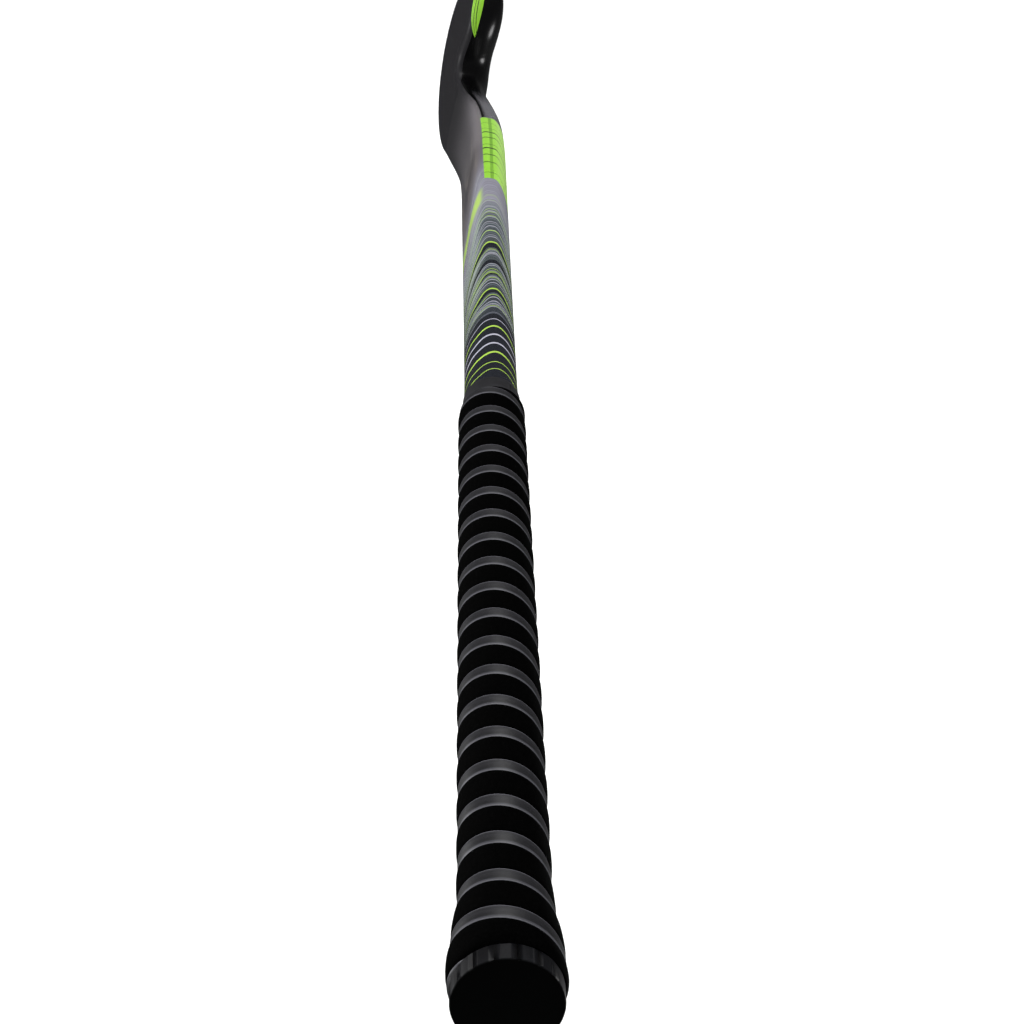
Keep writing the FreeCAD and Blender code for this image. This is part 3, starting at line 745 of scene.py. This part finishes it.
class STICK_OT_grip(bpy.types.Operator):
    """Winds the cushioned grip tape on the shaft, flared at the butt"""

    bl_idname = "stick.grip"
    bl_label = "Wound Grip"

    def execute(self, context):
        sizes = context.scene.stick_grip
        radius = sizes.width / 2.0
        bm = bmesh.new()
        wrap = bm.loops.layers.uv.new("wrap")
        verts = [
            bm.verts.new((radius + relief / 1000.0, 0.0, -(sizes.first_edge - share * sizes.pitch)))
            for share, relief in TURN_PROFILE
        ]
        edges = [bm.edges.new(pair) for pair in zip(verts, verts[1:])]
        steps = sizes.turns * sizes.steps
        bmesh.ops.spin(
            bm, geom=verts + edges, cent=(0, 0, 0), axis=(0, 0, 1), dvec=(0, 0, -sizes.pitch / sizes.steps),
            angle=FULL_TURN * sizes.turns, steps=steps, use_merge=False, use_duplicate=False,
        )
        bmesh.ops.remove_doubles(bm, verts=bm.verts, dist=0.00002)
        for face in bm.faces:
            middle = face.calc_center_median()
            middle_turn = math.atan2(middle.y, middle.x) / FULL_TURN
            base = math.floor((sizes.first_edge + middle.z) / sizes.pitch + middle_turn)
            share = (sizes.first_edge + middle.z) / sizes.pitch + middle_turn - base
            # The joint gets the painted lit grey copy of the tape; the rest gets the black one with its painted
            # shade.
            face.material_index = 1 if share < JOINT_SHARE else 0
            for loop in face.loops:
                spot = loop.vert.co
                turn = math.atan2(spot.y, spot.x) / FULL_TURN
                turn += round(middle_turn - turn)
                loop[wrap].uv = (turn, (sizes.first_edge + spot.z) / sizes.pitch + turn - base)
        for vert in bm.verts:
            turn = math.atan2(vert.co.y, vert.co.x) / FULL_TURN
            relief = math.hypot(vert.co.x, vert.co.y) - radius
            vert.co = oval_point(vert.co.z, turn, sizes, relief)
        top = -context.scene.stick_blank.grip_length
        for height, way in ((top, -1.0), (-sizes.lower_end, 1.0)):
            bmesh.ops.bisect_plane(
                bm, geom=bm.verts[:] + bm.edges[:] + bm.faces[:], dist=0.0000001,
                plane_co=(0, 0, height), plane_no=(0, 0, way), clear_outer=True,
            )
        self.add_bore(bm, sizes, top)
        bmesh.ops.recalc_face_normals(bm, faces=bm.faces)
        add_piece("wound_grip", bm, [cushioned_tape(), painted_lit_joint_tape()], "pu_grip", "grip_tape")
        return {"FINISHED"}

    def add_bore(self, bm, sizes, top):
        """Closes both ends of the sleeve and gives it its inside."""
        rims = []
        wide = (sizes.flare_bore, sizes.flare_bore)
        narrow = (sizes.bore_width, sizes.bore_depth)
        for start, stations in ((top, [(top, narrow)]), (-sizes.lower_end, [
            (-sizes.lower_end, wide), (-sizes.flare_length, narrow)
        ])):
            edges = boundary(bm, start, 0.00001)
            for height, (width, depth) in stations:
                made = bmesh.ops.extrude_edge_only(bm, edges=edges)["geom"]
                edges = [item for item in made if isinstance(item, bmesh.types.BMEdge) and item.is_boundary]
                for vert in {vert for edge in edges for vert in edge.verts}:
                    heading = math.atan2(vert.co.y / sizes.depth, vert.co.x / sizes.width)
                    vert.co = (width / 2.0 * math.cos(heading), depth / 2.0 * math.sin(heading), height)
            rims += edges
        bmesh.ops.bridge_loops(bm, edges=rims)


def vinyl_tape():
    """Vinyl tape, calendered and pulled tight: dark grey, thin and fairly glossy, with fine stretch lines."""
    material, make = new_material("Vinyl tape, calendered and stretched")
    spot = make("TexCoord", {}, {})["Object"]
    lines = make("Mapping", {}, {"Vector": spot, "Scale": (120.0, 120.0, 1400.0)})["Vector"]
    stretch = make("TexNoise", {}, {"Vector": lines, "Scale": 1.0, "Detail": 2.0})["Fac"]
    shade = make("ValToRGB", {
        "stops": [(0.35, linear("#19191c")), (0.7, linear("#2e2e32"))],
    }, {"Fac": stretch})["Color"]
    finish = {"Roughness": 0.34, "IOR": 1.53, "Specular IOR Level": 0.4}
    add_surface(make, shade, (stretch, 0.2, 0.0001), finish)
    return material


class STICK_OT_closing_tape(bpy.types.Operator):
    """Winds the closing tape above the grip, with its loose end lapped over"""

    bl_idname = "stick.closing_tape"
    bl_label = "Closing Tape"

    def execute(self, context):
        sizes = context.scene.stick_grip
        blank = context.scene.stick_blank
        bm = bmesh.new()
        low = -(blank.grip_length + sizes.band_width)
        # Each layer: inside offset from the shaft, lower and upper height, start and length in turns.
        layers = [
            (sizes.band_gap, low, -blank.grip_length, 0.0, 1.0),
            (
                sizes.band_gap + sizes.band_depth, low + 0.0004, -blank.grip_length - 0.0012,
                sizes.lap_start, sizes.lap_extent,
            ),
        ]
        for inside, bottom, upper, start, extent in layers:
            self.add_layer(bm, blank, sizes, inside, bottom, upper, start, extent)
        bmesh.ops.recalc_face_normals(bm, faces=bm.faces)
        add_piece("closing_tape", bm, [vinyl_tape()], "vinyl_tape", "finishing_tape")
        return {"FINISHED"}

    def add_layer(self, bm, blank, sizes, inside, bottom, upper, start, extent):
        """One lap of tape: a strip spun round the shaft and pressed to its oval."""
        present = set(bm.verts)
        whole = extent == 1.0
        depth = sizes.band_depth if whole else sizes.band_depth * 0.6
        radius = blank.shaft_width / 2.0 + inside
        strip = bmesh.ops.create_grid(bm, x_segments=1, y_segments=4, size=0.5)["verts"]
        for vert in strip:
            vert.co = (radius + (vert.co.x + 0.5) * depth, 0.0, between(bottom, upper, vert.co.y + 0.5))
        faces = list({face for vert in strip for face in vert.link_faces})
        rim = [edge for face in faces for edge in face.edges if edge.is_boundary]
        bmesh.ops.rotate(bm, verts=strip, cent=(0, 0, 0), matrix=Matrix.Rotation(FULL_TURN * start, 3, "Z"))
        if whole:
            bmesh.ops.delete(bm, geom=faces, context="FACES_ONLY")
            faces = []
        bmesh.ops.spin(
            bm, geom=list({vert for edge in rim for vert in edge.verts}) + rim + faces, cent=(0, 0, 0),
            axis=(0, 0, 1), dvec=(0, 0, 0), angle=FULL_TURN * extent, steps=round(96 * extent),
            use_merge=whole, use_duplicate=False,
        )
        for vert in set(bm.verts) - present:
            vert.co.y *= blank.shaft_depth / blank.shaft_width


# ---------------------------------------------------------------- the end cap

def moulded_rubber():
    """Thermoplastic rubber, injection moulded: black, with satin panels and a faint moulded grain; painted
    shade in the slots and on the end face, and painted highlights on the slots' lips.
    """
    material, make = new_material("Thermoplastic rubber, injection moulded")
    spot = make("TexCoord", {}, {})["Object"]
    grain = make("TexNoise", {}, {"Vector": spot, "Scale": 1500.0, "Detail": 2.0})["Fac"]
    cloud = make("TexNoise", {}, {"Vector": spot, "Scale": 90.0, "Detail": 2.0})["Fac"]
    height = make("SeparateXYZ", {}, {"Vector": spot})["Z"]
    # Painted shade: the end face is made near-black.
    end_face_painted_shade = make("MapRange", {}, {"Value": height, "From Min": -0.0006, "From Max": -0.0001})["Result"]
    mould = make("ValToRGB", {"stops": [(0.3, linear("#0c0c10")), (0.7, linear("#16171b"))]}, {"Fac": cloud})
    # Painted shade: black down in the slots, with painted highlights on the lips beside them.
    flat = make("VectorMath", {"operation": "MULTIPLY"}, {0: spot, 1: (1.0, 1.0, 0.0)})["Vector"]
    outwards = make("VectorMath", {"operation": "LENGTH"}, {0: flat})["Value"]
    outwards = make("MapRange", {}, {"Value": outwards, "From Min": 0.0157, "From Max": 0.0167})["Result"]
    lip = make("ValToRGB", {
        "stops": [
            (0.45, linear("#020202")), (0.62, linear("#7c7d86")), (0.92, linear("#8a8b94")),
            (0.97, linear("#101115")),
        ]
    }, {"Fac": outwards})["Color"]
    slot_painted_mask = make("ValToRGB", {
        "stops": [(0.95, linear("#ffffff")), (0.98, linear("#000000"))]
    }, {"Fac": outwards})["Color"]
    below_edge = make("Math", BELOW, {0: height, 1: -0.0008})["Value"]
    slot_painted_mask = make("Math", TIMES, {0: slot_painted_mask, 1: below_edge})["Value"]
    mould = make("Mix", {"data_type": "RGBA"}, {"Factor": slot_painted_mask, "A": mould["Color"], "B": lip})["Result"]
    # Painted shade: the end face near-black, darker than the rim.
    shade = make("Mix", {"data_type": "RGBA"}, {
        "Factor": end_face_painted_shade, "A": mould, "B": linear("#010101"),
    })["Result"]
    add_surface(make, shade, (grain, 0.15, 0.0001), {"Roughness": 0.55, "IOR": 1.5, "Specular IOR Level": 0.15})
    return material


class STICK_OT_end_cap(bpy.types.Operator):
    """Makes the end cap: ribbed rim, smooth end face, recess for the tube and stem"""

    bl_idname = "stick.end_cap"
    bl_label = "End Cap"

    def execute(self, context):
        cap = context.scene.stick_cap
        facets = cap.slots * (cap.panel_steps + 1)
        radius = cap.diameter / 2.0
        spin = cap.slot_turn + math.pi / facets
        bm = bmesh.new()
        bmesh.ops.create_cone(
            bm, cap_ends=True, cap_tris=False, segments=facets, radius1=radius, radius2=radius,
            depth=cap.height,
            matrix=Matrix.Translation((0, 0, -cap.height / 2.0)) @ Matrix.Rotation(spin, 4, "Z"),
        )
        under = min(bm.faces, key=lambda face: face.calc_center_median().z)
        stages = [
            ((cap.diameter - cap.recess_width) / 2.0, -cap.recess_floor),
            ((cap.recess_width - cap.stem_width) / 2.0, -cap.recess_floor - cap.stem_length),
        ]
        for width, height in stages:
            bmesh.ops.inset_region(bm, faces=[under], thickness=width, use_even_offset=True)
            walls = bmesh.ops.extrude_face_region(bm, geom=[under])["geom"]
            under = next(item for item in walls if isinstance(item, bmesh.types.BMFace))
            for vert in under.verts:
                vert.co.z = height
        rim = [
            edge for edge in bm.edges
            if all(abs(vert.co.z) < 0.00001 and vert.co.xy.length > radius * 0.99 for vert in edge.verts)
        ]
        bmesh.ops.bevel(
            bm, geom=rim, offset=cap.bevel, offset_type="OFFSET", segments=3, profile=0.5, affect="EDGES",
            material=-1, clamp_overlap=True,
        )
        slots = []
        for face in bm.faces:
            middle = face.calc_center_median()
            turn = (math.atan2(middle.y, middle.x) - cap.slot_turn) / FULL_TURN * facets
            outside = middle.xy.length > radius - cap.bevel and abs(face.normal.z) < 0.95
            if outside and len(face.verts) == 4 and round(turn) % (cap.panel_steps + 1) == 0:
                slots.append(face)
        pushed = bmesh.ops.extrude_face_region(bm, geom=slots)["geom"]
        for vert in {item for item in pushed if isinstance(item, bmesh.types.BMVert)}:
            vert.co.xy *= 1.0 - cap.slot_depth / vert.co.xy.length
        lips = [
            edge for edge in bm.edges
            if edge.is_manifold and edge.calc_face_angle() > math.radians(60.0)
            and min(vert.co.xy.length for vert in edge.verts) > radius - cap.bevel * 1.05
            and abs(edge.verts[0].co.xy.angle(edge.verts[1].co.xy, 0.0)) < 0.001
        ]
        bmesh.ops.bevel(
            bm, geom=lips, offset=cap.lip, offset_type="OFFSET", segments=2, profile=0.5, affect="EDGES",
            material=-1, clamp_overlap=True,
        )
        bmesh.ops.recalc_face_normals(bm, faces=bm.faces)
        add_piece("ribbed_cap", bm, [moulded_rubber()], "cap_rubber", "end_cap")
        return {"FINISHED"}


# ---------------------------------------------------------------- pieces kept from the frame

def grained_material(name, dark, light, grain, roughness, specular):
    """A dull material with a grain: grain is its size in metres, dark and light are its two shades."""
    material, make = new_material(name)
    spot = make("TexCoord", {}, {})["Object"]
    noise = make("TexNoise", {}, {
        "Vector": spot, "Scale": 1.0 / grain, "Detail": 3.0, "Roughness": 0.65,
    })["Fac"]
    shade = make("ValToRGB", {"stops": [(0.35, linear(dark)), (0.68, linear(light))]}, {"Fac": noise})["Color"]
    finish = {"Roughness": roughness, "IOR": 1.5, "Specular IOR Level": specular}
    add_surface(make, shade, (noise, 0.3, grain * 0.3), finish)
    return material


# Name of the finish, its two shades, grain in metres, roughness, specular level and the nodes that have it.
KEPT_FINISHES = [
    # Polyurethane coating, sprayed with grit: dark, dull and slightly rough, so the ball is held.
    ("Polyurethane coating, sprayed with grit", "#1a191c", "#242327", 0.0005, 0.62, 0.22, ["face_layer"]),
    # Carbon laminate, braided and cured bare: near black with a faint thread pattern.
    (
        "Carbon laminate, cured bare", "#101012", "#1e1e21", 0.0010, 0.45, 0.5,
        ["toe_side_tube", "heel_side_tube"],
    ),
    # Polyurethane foam, cast: pale tan, with small closed pores.
    ("Polyurethane foam, cast", "#b79a63", "#d2bd8c", 0.0012, 0.9, 0.3, ["head_core"]),
    # Expanding foam, foamed in place: pale yellow, with larger pores.
    (
        "Expanding foam, foamed in place", "#d8cc96", "#efe8c4", 0.0025, 0.95, 0.2,
        ["toe_side_foam", "heel_side_foam"],
    ),
    # Nylon, injection moulded: dark and slightly waxy.
    ("Nylon, injection moulded", "#1c1c1e", "#2a2a2c", 0.0008, 0.5, 0.5, ["butt_plug"]),
    # EVA foam, cut and skived: charcoal with a fine dry grain.
    ("Foam rubber, cut and skived", "#232325", "#363639", 0.0009, 0.9, 0.2, ["flare_collar"]),
    # Double-sided tape with a cloth backing: off-white and dull.
    ("Cloth tape, coated on both sides", "#c9c7bd", "#e2e0d6", 0.0006, 0.8, 0.3, ["adhesive_tape"]),
]


class STICK_OT_kept_pieces(bpy.types.Operator):
    """Gives the pieces that are kept from the frame their finishes"""

    bl_idname = "stick.kept_pieces"
    bl_label = "Kept Pieces"

    def execute(self, context):
        for name, dark, light, grain, roughness, specular, nodes in KEPT_FINISHES:
            material = grained_material(name, dark, light, grain, roughness, specular)
            for node in nodes:
                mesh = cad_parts[node].data
                mesh.materials.clear()
                mesh.materials.append(material)
        hidden = {"outer_shell": "printed_blank", "grip_tape": "wound_grip", "finishing_tape": "closing_tape",
                  "end_cap": "ribbed_cap"}
        for node, piece in hidden.items():
            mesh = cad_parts[node].data
            mesh.materials.clear()
            mesh.materials.append(bpy.data.objects[piece].data.materials[0])
        return {"FINISHED"}


# ---------------------------------------------------------------- the stage

def painted_board():
    """Board, painted matte: a pale even ground with the faintest mottle."""
    material, make = new_material("Board, painted matte")
    spot = make("TexCoord", {}, {})["Object"]
    mottle = make("TexNoise", {}, {"Vector": spot, "Scale": 3.0, "Detail": 2.0})["Fac"]
    shade = make(
        "ValToRGB", {"stops": [(0.3, linear("#f4f4f4")), (0.7, linear("#fafafa"))]}, {"Fac": mottle}
    )["Color"]
    surface = make("BsdfPrincipled", {}, {"Base Color": shade, "Roughness": 0.9, "Specular IOR Level": 0.1})
    make("OutputMaterial", {}, {"Surface": surface["BSDF"]})
    return material


class STICK_OT_stage(bpy.types.Operator):
    """Sets the floor, the soft lights and the camera"""

    bl_idname = "stick.stage"
    bl_label = "Stage"

    def execute(self, context):
        scene = context.scene
        sizes = scene.stick_stage
        self.add_floor(scene, sizes)
        self.add_lights(scene)
        self.add_camera(scene, sizes)
        scene.view_settings.view_transform = "Standard"
        return {"FINISHED"}

    def add_floor(self, scene, sizes):
        """Pale floor under the hook, and a lamp that lights only the floor and casts no shadow on it."""
        bm = bmesh.new()
        bmesh.ops.create_grid(bm, x_segments=2, y_segments=2, size=sizes.floor_size / 2.0)
        bmesh.ops.translate(bm, verts=bm.verts, vec=(0, 0, FRAME_BOX[0].z))
        mesh = bpy.data.meshes.new("floor")
        bm.to_mesh(mesh)
        bm.free()
        mesh.materials.append(painted_board())
        floor = bpy.data.objects.new("floor", mesh)
        floor.visible_glossy = False
        stage = bpy.data.collections.new("stage")
        scene.collection.children.link(stage)
        stage.objects.link(floor)
        lamp = bpy.data.lights.new("floor_light", "SUN")
        lamp.energy = 1.6
        light = bpy.data.objects.new("floor_light", lamp)
        light.light_linking.receiver_collection = stage
        light.light_linking.blocker_collection = stage
        scene.collection.objects.link(light)

    def add_lights(self, scene):
        """Even surroundings that show little in gloss, and three soft lights."""
        world = bpy.data.worlds.new("studio")
        world.use_nodes = True
        tree = world.node_tree
        tree.nodes.clear()
        rays = add_node(tree, "LightPath", {}, {})
        # Dim in gloss, even as light and white to the camera.
        level = 0.70
        for kind, change in (("Is Glossy Ray", -0.62), ("Is Camera Ray", 0.30)):
            level = add_node(tree, "Math", ADD_SCALED, {0: rays[kind], 1: change, 2: level})["Value"]
        backdrop = add_node(tree, "Background", {}, {"Color": linear("#ffffff"), "Strength": level})
        add_node(tree, "OutputWorld", {}, {"Surface": backdrop["Background"]})
        scene.world = world
        # Name, place, point that it faces, width and power in watts.
        lights = [
            ("toe_side_light", (0.95, 0.25, -0.80), (0.0, 0.0, -0.40), 0.7, 7.0),
            ("playing_side_light", (-0.30, 1.00, -0.55), (0.0, 0.0, -0.45), 0.7, 7.0),
            ("back_side_light", (-0.50, -0.95, -0.55), (0.0, 0.0, -0.45), 0.5, 5.0),
        ]
        for name, place, target, width, power in lights:
            lamp = bpy.data.lights.new(name, "AREA")
            lamp.shape = "DISK"
            lamp.size = width
            lamp.energy = power
            light = bpy.data.objects.new(name, lamp)
            light.location = place
            light.rotation_euler = (Vector(target) - Vector(place)).to_track_quat("-Z", "Y").to_euler()
            light.visible_camera = False
            scene.collection.objects.link(light)

    def add_camera(self, scene, sizes):
        """Camera above the butt, looking down the shaft from the toe side."""
        tilt, side = sizes.tilt, sizes.side_view
        view = Vector((-math.sin(tilt) * math.cos(side), -math.sin(tilt) * math.sin(side), -math.cos(tilt)))
        right = Vector((math.sin(side), -math.cos(side), 0.0))
        upward = right.cross(view)
        turned_right = right * math.cos(sizes.roll) + upward * math.sin(sizes.roll)
        turned_up = upward * math.cos(sizes.roll) - right * math.sin(sizes.roll)
        target = Vector((0.0, 0.0, -sizes.target_drop)) + right * sizes.target_shift
        lens = bpy.data.cameras.new("camera")
        lens.lens = sizes.lens
        lens.sensor_width = 36.0
        lens.clip_start = 0.01
        camera = bpy.data.objects.new("camera", lens)
        turn = Matrix((turned_right, turned_up, -view)).transposed().to_4x4()
        camera.matrix_world = Matrix.Translation(target - view * sizes.distance) @ turn
        scene.collection.objects.link(camera)
        scene.camera = camera


class STICK_PT_panel(bpy.types.Panel):
    """Lists the pieces in the order in which they are made"""

    bl_idname = "STICK_PT_panel"
    bl_label = "Hockey Stick"
    bl_space_type = "VIEW_3D"
    bl_region_type = "UI"
    bl_category = "Hockey Stick"

    def draw(self, context):
        for name in PIECE_OPERATORS:
            self.layout.operator(name)


PIECE_OPERATORS = [
    "stick.blank",
    "stick.grip",
    "stick.closing_tape",
    "stick.end_cap",
    "stick.kept_pieces",
    "stick.stage",
]
GROUPS = {
    "stick_blank": BlankSizes,
    "stick_grip": GripSizes,
    "stick_cap": CapSizes,
    "stick_inks": PrintColours,
    "stick_stage": StageSizes,
}
CLASSES = [
    *GROUPS.values(),
    STICK_OT_blank,
    STICK_OT_grip,
    STICK_OT_closing_tape,
    STICK_OT_end_cap,
    STICK_OT_kept_pieces,
    STICK_OT_stage,
    STICK_PT_panel,
]


def register():
    for item in CLASSES:
        bpy.utils.register_class(item)
    for name, group in GROUPS.items():
        setattr(bpy.types.Scene, name, PointerProperty(type=group))


def unregister():
    for name in GROUPS:
        delattr(bpy.types.Scene, name)
    for item in reversed(CLASSES):
        bpy.utils.unregister_class(item)


def main():
    """Makes every piece and the stage."""
    register()
    for name in PIECE_OPERATORS:
        group, operator = name.split(".")
        getattr(getattr(bpy.ops, group), operator)()


if __name__ == "__main__":
    main()
